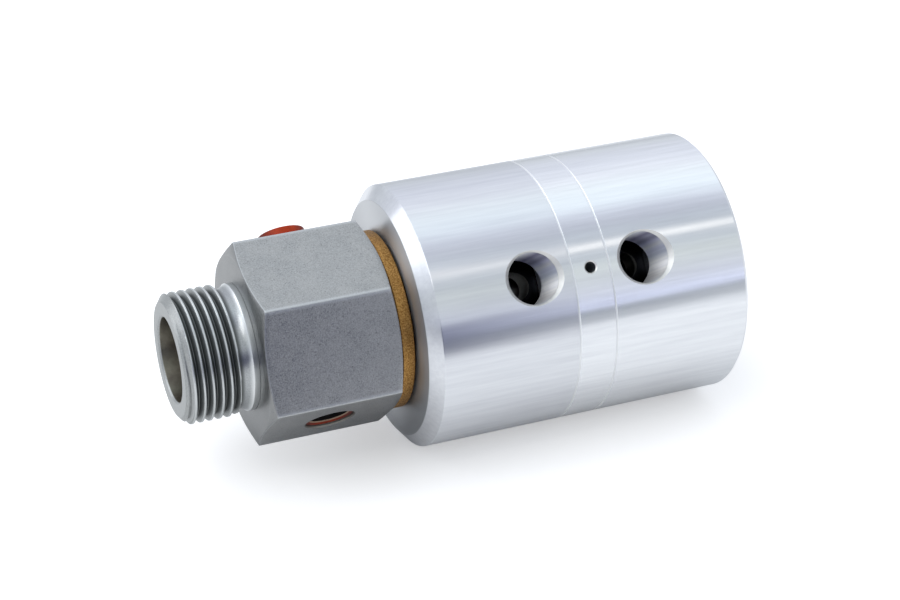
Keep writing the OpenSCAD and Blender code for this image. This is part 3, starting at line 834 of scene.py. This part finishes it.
def housing_profile():
    """Profile of the housing: its skin with the scribed lines, and back through its seats and grooves."""
    x0, x1 = HOUSING_FRONT, HOUSING_REAR
    scribes = []
    for x in SCRIBE_X:
        scribes += [(x - 0.3, HOUSING_R, 0), (x - 0.22, HOUSING_R - 0.6, 0), (x + 0.26, HOUSING_R, 0)]
    grooves = [(x, PORT_GROOVE_W, GROOVE_R) for x in PORT_X] + [(WEEP_X, WEEP_GROOVE_W, GROOVE_R)]
    grooves += [(x + way * SEAL_OFFSET, SEAL_GROOVE_W, SEAL_GROOVE_R) for x in PORT_X for way in (-1, 1)]
    inside = []
    for x, width, r in sorted(grooves, reverse=True):
        inside += [
            (x + width / 2, PLAIN_BORE_R, 0),
            (x + width / 2, r, 0),
            (x - width / 2, r, 0),
            (x - width / 2, PLAIN_BORE_R, 0),
        ]
    return [
        (x0 + WIPER_SEAT, BUSH_SEAT_R, 0),
        (x0 + WIPER_SEAT, WIPER_SEAT_R, 0),
        (x0, WIPER_SEAT_R, 0.15),
        (x0, FRONT_FACE_R, 0.3),
        (x0 + FRONT_BEVEL, HOUSING_R, 0.3),
        *scribes,
        (x1 - REAR_BEVEL, HOUSING_R, 0.2),
        (x1, HOUSING_R - REAR_BEVEL, 0.2),
        (x1, COVER_SEAT_R, 0.12),
        (x1 - COVER_SEAT, COVER_SEAT_R, 0),
        (x1 - COVER_SEAT, COVER_GROOVE_R[1], 0),
        (x1 - COVER_GROOVE_FLOOR, COVER_GROOVE_R[1], 0),
        (x1 - COVER_GROOVE_FLOOR, COVER_GROOVE_R[0], 0),
        (x1 - COVER_SEAT, COVER_GROOVE_R[0], 0),
        (x1 - COVER_SEAT, FLANGE_POCKET_R, 0),
        (x1 - FLANGE_SEAT, FLANGE_POCKET_R, 0),
        (x1 - FLANGE_SEAT, BUSH_SEAT_R, 0),
        (x1 - REAR_BUSH_START, BUSH_SEAT_R, 0),
        (x1 - REAR_BUSH_START, PLAIN_BORE_R, 0),
        *inside,
        (x0 + FRONT_BUSH_END, PLAIN_BORE_R, 0),
        (x0 + FRONT_BUSH_END, BUSH_SEAT_R, 0),
    ]


def housing():
    """Housing: one closed profile turned about X, with its ports and weep hole cut out.

    Its columns are 0.4 degrees apart within 16 degrees of the ports, and wider apart elsewhere."""
    near = np.arange(PORT_ELEVATION - 16, PORT_ELEVATION + 16.01, 0.4)
    far = np.linspace(near[-1], near[0] + 360, 290)[1:-1]
    made = turned("housing_with_ports", housing_profile(), np.concatenate([near, far]))
    made.data.materials.append(aluminium)
    made.data.materials.append(bore_aluminium)
    mouth = [
        (PORT_FLOOR, PORT_R, 0),
        (HOUSING_R - PORT_BEVEL, PORT_R, 0.2),
        (HOUSING_R + 2, PORT_R + PORT_BEVEL + 2, 0),
    ]
    weep = [(PORT_FLOOR, WEEP_R, 0), (HOUSING_R - 0.35, WEEP_R, 0), (HOUSING_R + 1, WEEP_R + 1.35, 0)]
    cutters = [drill(f"port_{i}", x, PORT_ELEVATION, closed_ends(mouth)) for i, x in enumerate(PORT_X)]
    cutters.append(drill("weep_hole", WEEP_X, PORT_ELEVATION, closed_ends(weep), slot=0, turns=48))
    carve(made, cutters)
    paint(made, scribed, on_scribe)
    paint(made, bevel_aluminium, on_port_bevel, slot=1)
    paint(made, bevel_aluminium, on_weep_bevel)
    return dress(made, "stator", "aluminium", "housing")


def on_scribe(at):
    """True for the faces inside the two scribed lines."""
    beside = np.min([np.abs(at[:, 0] - x) for x in SCRIBE_X], axis=0)
    r = np.hypot(at[:, 1], at[:, 2])
    return (beside < 0.29) & (r < HOUSING_R - 0.01) & (r > HOUSING_R - 1)


def on_port_bevel(at):
    """True for the faces of the bevels round the ports."""
    return at @ outward(PORT_ELEVATION) > HOUSING_R - PORT_BEVEL - 0.04


def on_weep_bevel(at):
    """True for the faces of the small bevel round the weep hole."""
    out = np.array(outward(PORT_ELEVATION))
    height = at @ out
    beside = np.linalg.norm(at - (WEEP_X, 0, 0) - height[:, None] * out, axis=1)
    under_skin = np.hypot(at[:, 1], at[:, 2]) < HOUSING_R - 0.02
    return (beside < WEEP_R + 0.6) & (height > HOUSING_R - 0.33) & under_skin


housing()

# Washer, plugs, rear cover and its screws


def ring_edge(x0, x1, r, front, rear):
    """Outer corners of a ring or disc from x0 to x1, with bevels of those sizes."""
    return [(x0, r - front, 0.1), (x0 + front, r, 0.1), (x1 - rear, r, 0.1), (x1, r - rear, 0.1)]


def thrust_washer():
    """Bronze washer: a profile turned about X, square with small bevels on its outer edges."""
    low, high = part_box("front_thrust_washer")
    x0, x1, r = 1000 * low.x, 1000 * high.x, 1000 * high.z
    profile = [(x0, WASHER_BORE_R, 0), *ring_edge(x0, x1, r, 0.3, 0.3), (x1, WASHER_BORE_R, 0)]
    made = turned("bronze_thrust_washer", profile, ALL_ROUND)
    made.data.materials.append(bronze)
    return dress(made, "rotor", "bronze", "front_thrust_washer")


def port_plug(name, node_name, body, elevation, rim, finish, rim_slope):
    """Moulded plug: a profile turned about the port's axis, a thin cup whose wall narrows inwards."""
    foot = rim - PLUG_LEN
    profile = [
        (foot, 0, 0),
        (foot, PLUG_FOOT_R, 0.5),
        (rim, PLUG_R, 0.45 - rim_slope / 2),
        (rim - rim_slope, PLUG_R - PLUG_WALL, 0.4 - rim_slope / 3),
        (foot + PLUG_WALL, PLUG_FOOT_R - PLUG_WALL, 0.5),
        (foot + PLUG_WALL, 0, 0),
    ]
    made = drill(name, HEX_MIDDLE, elevation, profile, slot=0)
    made.data.materials.append(finish)

    def outside(at):
        """True for the faces of the outer wall and of the bottom."""
        height = at @ outward(elevation)
        beside = np.hypot(at[:, 0] - HEX_MIDDLE, at @ sideways(elevation))
        return (beside > PLUG_FOOT_R - 0.35) & (height < rim - 0.5) | (height < foot + 0.6)

    paint(made, plug_plastic, outside)
    return dress(made, body, "orange_plastic", node_name)


thrust_washer()
port_plug("upper_orange_plug", "upper_port_plug", "upper_plug", UPPER_ELEVATION, UPPER_RIM, plug_plastic, 0)
port_plug("lower_orange_plug", "lower_port_plug", "lower_plug", FLAT_ELEVATION, LOWER_RIM, plastic_with_painted_light, 0.6)


def rear_cover():
    """Flush rear cover: a profile turned about X, a disc that is bored and countersunk for its screws."""
    low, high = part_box("rear_cover")
    x0, x1, r = 1000 * low.x, 1000 * high.x, 1000 * high.z
    profile = [(x0, 0, 0), *ring_edge(x0, x1, r, 0.2, 0.35), (x1, 0, 0)]
    made = turned("rear_cover_disc", profile, ALL_ROUND)
    made.data.materials.append(aluminium)
    made.data.materials.append(aluminium)
    hole_r = SCREW_R + 0.02
    sink = closed_ends([(x0 - 1, hole_r, 0), (x1 - 2, hole_r, 0), (x1 + 1, hole_r + 3.03, 0)])
    cutters = [
        spun(f"countersink_{i}", (0, y, z), (1, 0, 0), (0, 1, 0), sink, turns=64)
        for i, (y, z) in enumerate(screw_places())
    ]
    carve(made, cutters)
    return dress(made, "stator", "aluminium", "rear_cover")


def screw_places():
    """Middle of each cover screw, as (y, z) on its circle; the first one lies straight below the axis."""
    turn = math.pi / 3 * np.arange(COVER_SCREWS)
    return SCREW_CIRCLE_R * np.stack([np.sin(turn), -np.cos(turn)], axis=-1)


def cover_screws():
    """Countersunk screws: rows from the socket's bottom over the rim, then down the cone and along the shank.

    A row is (station, radius, 1 in the socket). A row of the socket is a hexagon: half its width across flats
    / cos(angle from the middle of a side)."""
    top = HOUSING_REAR - 0.1
    rows = np.array(
        [
            (top - 2.3, 0, 0),
            (top - 2, SOCKET_R, 1),
            (top - 0.3, SOCKET_R, 1),
            (top - 0.05, SOCKET_R + 0.4, 0),
            (top, SOCKET_R + 0.5, 0),
            (top, SCREW_HEAD_R - 0.24, 0),
            (top - 0.06, SCREW_HEAD_R - 0.06, 0),
            (top - 0.2, SCREW_HEAD_R, 0),
            (top - 2.05, SCREW_R, 0),
            (top - SCREW_LEN + 0.2, SCREW_R, 0),
            (top - SCREW_LEN, SCREW_R - 0.2, 0),
            (top - SCREW_LEN, 0, 0),
        ]
    )
    a = np.linspace(0, 2 * math.pi, 72, endpoint=False)[None]
    from_side = (a + math.pi / 6) % (math.pi / 3) - math.pi / 6
    r = rows[:, 1:2] * (1 + rows[:, 2:] * (1 / np.cos(from_side) - 1))
    points, quads = [], []
    for i, (y, z) in enumerate(screw_places()):
        x = np.broadcast_to(rows[:, :1], r.shape)
        points.append(MM * np.stack([x, y + r * np.cos(a), z + r * np.sin(a)], axis=-1).reshape(-1, 3))
        quads.append(grid_faces(*r.shape, False, True, i * r.size))
    made = mesh_object("countersunk_cover_screws", np.vstack(points), np.vstack(quads), 28)
    made.data.materials.append(dark_steel)
    return dress(made, "stator", "screw_steel", "cover_screws")


rear_cover()
cover_screws()

# CAD pieces that keep their shape

FINISHES = {
    "passage_tube": steel,
    "shaft_end_plug": steel,
    "support_washer": steel,
    "shaft_retaining_ring": dark_steel,
    "front_bush": bronze,
    "rear_bush": bronze,
    "dust_wiper": rubber,
    "tube_front_seal": rubber,
    "tube_rear_seal": rubber,
    "end_plug_seal": rubber,
    "cover_seal_ring": rubber,
}
for i in (1, 2, 3, 4):
    FINISHES[f"slipper_seal_{i}"] = ptfe
    FINISHES[f"seal_energiser_{i}"] = rubber
for name, finish in FINISHES.items():
    nodes[name].data.materials.clear()
    nodes[name].data.materials.append(finish)

# Studio

# Levels at which a colour renders about as it is written; lengths of the lamps are in metres, the rest in
# millimetres
WORLD_LEVEL = 1.25
LAMP_LEVEL = 1.3
PORT_LAMP_LEVEL = 2.0
LAMP_WIDTH, LAMP_HEIGHT = 0.42, 0.3
LAMP_DISTANCE = 0.7
LAMP_AIM = (50, 0, 0)
PART_MIDDLE = 78
PART_REACH = 55.0
FLOOR_REACH = 12000
CAMERA_PLACE = (-121.3, -477.9, 293.9)
CAMERA_LOOK = (0.3184, 0.8086, -0.4946)
LENS, SENSOR_WIDTH = 92.0, 36.0


def studio_world():
    """Soft light that changes only with the elevation round the part's axis; to the camera it is plain white.

    The elevation is the arctangent of a direction's height over its way towards -Y."""
    world = bpy.data.worlds.new("studio_tent")
    bpy.context.scene.world = world
    world.use_nodes = True
    tree = world.node_tree
    way = node(tree, "SeparateXYZ", node(tree, "TexCoord", output="Generated")).node.outputs
    forward = node(tree, "Math", way["Y"], -1.0, operation="MULTIPLY")
    angle = node(tree, "Math", way["Z"], forward, operation="ARCTAN2")
    ramp = node(tree, "ValToRGB", node(tree, "MapRange", angle, 0.0, math.pi))
    # the narrow white band near 58 degrees is a strip light, which the housing mirrors as a thin bright line
    stops = [
        (0, "9DA2A9"),
        (3, "A2A7B0"),
        (5, "DEE4FC"),
        (9, "DADFF4"),
        (14, "D4D9E8"),
        (18, "CFD3DF"),
        (28, "CBD0D6"),
        (40, "CCD2D3"),
        (50, "BCC3CB"),
        (55, "B4BBC4"),
        (56.5, "FFFFFF"),
        (60.5, "FFFFFF"),
        (62, "B4BBC4"),
        (70, "B7BEC8"),
        (79, "B3B7C4"),
        (88, "CCD1DE"),
        (97, "E6EFF8"),
        (108, "EBF4FB"),
        (119, "EAF1F7"),
        (129, "E5E9F2"),
        (149, "D7DBE6"),
        (169, "CDD1DA"),
        (180, "C9CED2"),
    ]
    set_stops(ramp.node, stops)
    seen = node(tree, "LightPath", output="Is Camera Ray")
    background = tree.nodes["Background"]
    light = node(tree, "Mix", seen, ramp, colour("FFFFFF"), data_type="RGBA")
    tree.links.new(light, background.inputs["Color"])
    tree.links.new(node(tree, "MapRange", seen, 0, 1, WORLD_LEVEL, 1.0), background.inputs["Strength"])


def plane(name, corners, finish):
    """Flat stage piece through four corners, in millimetres."""
    made = mesh_object(name, MM * np.array(corners, float), np.array([[0, 1, 2, 3]]))
    made.data.materials.append(finish)
    return made


def studio_floor():
    """White floor; it glows a little to the eye and in reflections, so it reads white but keeps the shadow.

    The glow fades towards the part, by the distance from the line under it, most under the housing, so the
    shadow round the part is partly real and partly painted shadow; in reflections it fades far away too."""
    finish, tree, shader = finish_named("white_floor", Roughness=0.9)
    shader.inputs["Base Color"].default_value = colour("D2D2D2")
    shader.inputs["Specular IOR Level"].default_value = 0.0
    shader.inputs["Emission Color"].default_value = colour("FFFFFF")
    where = node(tree, "SeparateXYZ", place(tree)).node.outputs
    # distance from the line under the part: past its ends the way along X counts too
    past_end = node(tree, "Math", where["X"], PART_MIDDLE, operation="SUBTRACT")
    past_end = node(tree, "Math", past_end, operation="ABSOLUTE")
    past_end = node(tree, "Math", past_end, PART_REACH, operation="SUBTRACT")
    past_end = node(tree, "Math", past_end, 0.0, operation="MAXIMUM")
    away = node(tree, "VectorMath", node(tree, "CombineXYZ", past_end, where["Y"]), operation="LENGTH")
    # to the eye it rises from the level under the part to that of the floor around, and far away to white
    # painted shadow: to the eye the glow dips near the part, most under the housing
    under = node(tree, "MapRange", where["X"], 20, 60, 0.48, 0.36)
    around = node(tree, "MapRange", away, 5, 42, under, 0.68)
    beyond = node(tree, "MapRange", away, 110, 260, 0, 0.5)
    seen = node(tree, "Math", around, beyond, operation="ADD")
    # in reflections it shows only near the part
    rays = node(tree, "LightPath").node.outputs
    mirrored = node(tree, "Math", rays["Is Glossy Ray"], rays["Is Transmission Ray"], operation="MAXIMUM")
    rising = node(tree, "MapRange", away, 5, 50, 0.0, 0.42)
    falling = node(tree, "MapRange", away, 280, 420, 1.0, 0.0)
    near = node(tree, "Math", rising, falling, operation="MULTIPLY")
    to_eye = node(tree, "Math", rays["Is Camera Ray"], seen, operation="MULTIPLY")
    to_metal = node(tree, "Math", mirrored, near, operation="MULTIPLY")
    glow = node(tree, "Math", to_eye, to_metal, operation="ADD")
    tree.links.new(glow, shader.inputs["Emission Strength"])
    z = 1000 * cad_box[0].z - 0.5
    far = FLOOR_REACH
    plane("studio_floor", [(-far, -far, z), (far, -far, z), (far, far, z), (-far, far, z)], finish)


def dark_card():
    """Dark blue card in front of the part, unseen by the camera, so that the sides that face it are dim."""
    finish, tree, shader = finish_named("dark_card", Roughness=0.9)
    shader.inputs["Base Color"].default_value = colour("282E62")
    y, left, right, top = -260, -400, 118, 80
    z = 1000 * cad_box[0].z
    card = plane("dark_card", [(left, y, z), (right, y, z), (right, y, top), (left, y, top)], finish)
    card.visible_camera = False


def soft_lamp(name, way, level):
    """Soft lamp: a rectangle that faces the part from that way, as bright all over as its level."""
    data = bpy.data.lights.new(name, "AREA")
    data.shape = "RECTANGLE"
    data.size, data.size_y = LAMP_WIDTH, LAMP_HEIGHT
    data.energy = level * math.pi * LAMP_WIDTH * LAMP_HEIGHT
    made = bpy.data.objects.new(name, data)
    bpy.context.scene.collection.objects.link(made)
    way = Vector(way).normalized()
    turn = way.to_track_quat("Z", "Y").to_matrix().to_4x4()
    made.matrix_world = Matrix.Translation(MM * Vector(LAMP_AIM) + LAMP_DISTANCE * way) @ turn


def camera():
    """Camera at the photograph's place: it looks down onto the part, from the front left."""
    data = bpy.data.cameras.new("camera")
    data.lens, data.sensor_width = LENS, SENSOR_WIDTH
    made = bpy.data.objects.new("camera", data)
    bpy.context.scene.collection.objects.link(made)
    look = Vector(CAMERA_LOOK).normalized()
    right = look.cross(Vector((0, 0, 1))).normalized()
    turn = Matrix((right, right.cross(look), -look)).transposed().to_4x4()
    made.matrix_world = Matrix.Translation(MM * Vector(CAMERA_PLACE)) @ turn
    bpy.context.scene.camera = made


studio_world()
studio_floor()
dark_card()
# One lamp behind on the left whitens the housing's bevel, one in front lights the walls of the ports
soft_lamp("rear_lamp", (-0.8, 0.5, 0.34), LAMP_LEVEL)
soft_lamp("front_lamp", (-0.6, -0.207, 0.773), PORT_LAMP_LEVEL)
camera()
bpy.context.scene.view_settings.view_transform = "Standard"
